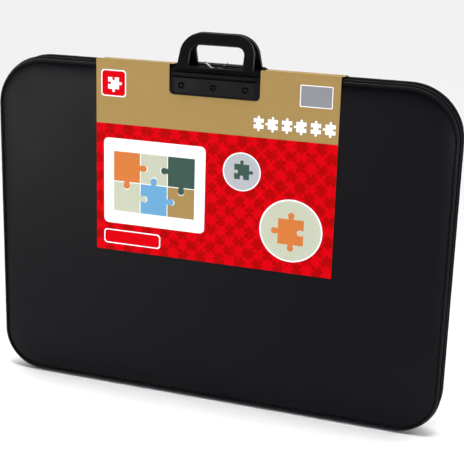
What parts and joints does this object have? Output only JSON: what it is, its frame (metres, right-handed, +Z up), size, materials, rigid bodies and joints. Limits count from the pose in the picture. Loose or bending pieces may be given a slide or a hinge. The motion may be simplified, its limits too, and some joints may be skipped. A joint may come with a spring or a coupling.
{
  "type": "puzzle carrier",
  "caption": "Flat padded carrying case for a jigsaw puzzle: two felt-lined halves hinged on a spine, zip on three sides, twin grips and a card sleeve.",
  "frame": {"origin": "bottom centre of the closed, standing case, where its spine meets the floor", "axes": "+X along the width, +Y through the case from front to back, +Z up towards the grips"},
  "size_m": [0.81, 0.063, 0.6473],
  "materials": {
    "leatherette": "grained satin black",
    "piping": "satin black",
    "foam": "matte",
    "board": "hardboard, matte",
    "felt": "sage felt",
    "lining_cloth": "black cloth",
    "zip_tape": "woven black",
    "zip_teeth": "satin black",
    "zip_metal": "nickel plated",
    "handle_plastic": "moulded, fine texture",
    "rivet": "gloss black",
    "binding": "woven black",
    "front_card": "printed and varnished",
    "back_card": "printed and varnished"
  },
  "bodies": {
    "spine": {"spine_cover": "leatherette", "spine_board": "board", "spine_lining": "lining_cloth"},
    "front": {"front_foam": "foam", "front_cover": "leatherette", "front_board": "board", "front_lining": "felt", "front_piping": "piping", "front_gusset": "leatherette", "front_zip_tape": "zip_tape", "front_zip_chain": "zip_teeth", "front_zip_stops": "zip_metal", "front_handle_plate": "handle_plastic", "front_rivets": "rivet", "front_rivet_strip": "zip_metal", "front_insert_board": "board", "front_insert_binding": "binding", "front_insert_felt": "felt", "front_card": "front_card"},
    "front_link": {"front_handle_link": "handle_plastic"},
    "front_grip": {"front_grip": "handle_plastic"},
    "back": {"back_foam": "foam", "back_cover": "leatherette", "back_board": "board", "back_lining": "felt", "back_piping": "piping", "back_gusset": "leatherette", "back_zip_tape": "zip_tape", "back_zip_chain": "zip_teeth", "back_zip_stops": "zip_metal", "back_handle_plate": "handle_plastic", "back_rivets": "rivet", "back_rivet_strip": "zip_metal", "back_insert_board": "board", "back_insert_binding": "binding", "back_insert_felt": "felt", "back_card": "back_card"},
    "back_link": {"back_handle_link": "handle_plastic"},
    "back_grip": {"back_grip": "handle_plastic"},
    "right_slider": {"right_slider": "zip_metal"},
    "right_pull": {"right_pull": "zip_metal"},
    "left_slider": {"left_slider": "zip_metal"},
    "left_pull": {"left_pull": "zip_metal"}
  },
  "joints": [
    {"name": "front_fold", "type": "hinge", "parent": "spine", "child": "front", "pos_m": [0, -0.022, 0.0053], "axis": [1, 0, 0], "range_deg": [0, 90]},
    {"name": "back_fold", "type": "hinge", "parent": "spine", "child": "back", "pos_m": [0, 0.022, 0.0053], "axis": [-1, 0, 0], "range_deg": [0, 90]},
    {"name": "front_link_bend", "type": "hinge", "parent": "front", "child": "front_link", "pos_m": [0, -0.0264, 0.576], "axis": [1, 0, 0], "range_deg": [0, 35]},
    {"name": "front_grip_bend", "type": "hinge", "parent": "front_link", "child": "front_grip", "pos_m": [0, -0.02529, 0.58392], "axis": [1, 0, 0], "range_deg": [0, 35]},
    {"name": "back_link_bend", "type": "hinge", "parent": "back", "child": "back_link", "pos_m": [0, 0.0264, 0.576], "axis": [-1, 0, 0], "range_deg": [0, 35]},
    {"name": "back_grip_bend", "type": "hinge", "parent": "back_link", "child": "back_grip", "pos_m": [0, 0.02529, 0.58392], "axis": [-1, 0, 0], "range_deg": [0, 35]},
    {"name": "right_slider_run", "type": "slide", "parent": "back", "child": "right_slider", "axis": [1, 0, 0], "range_m": [0, 0.055]},
    {"name": "right_pull_swing", "type": "hinge", "parent": "right_slider", "child": "right_pull", "pos_m": [0.001, 0, 0.58825], "axis": [0, -1, 0], "range_deg": [0, 60]},
    {"name": "left_slider_run", "type": "slide", "parent": "back", "child": "left_slider", "axis": [-1, 0, 0], "range_m": [0, 0.045]},
    {"name": "left_pull_swing", "type": "hinge", "parent": "left_slider", "child": "left_pull", "pos_m": [-0.014, 0, 0.58825], "axis": [0, 1, 0], "range_deg": [0, 60]}
  ],
  "couplings": [
    {"joint": "front_grip_bend", "follows": "front_link_bend", "ratio": 1},
    {"joint": "back_grip_bend", "follows": "back_link_bend", "ratio": 1}
  ]
}
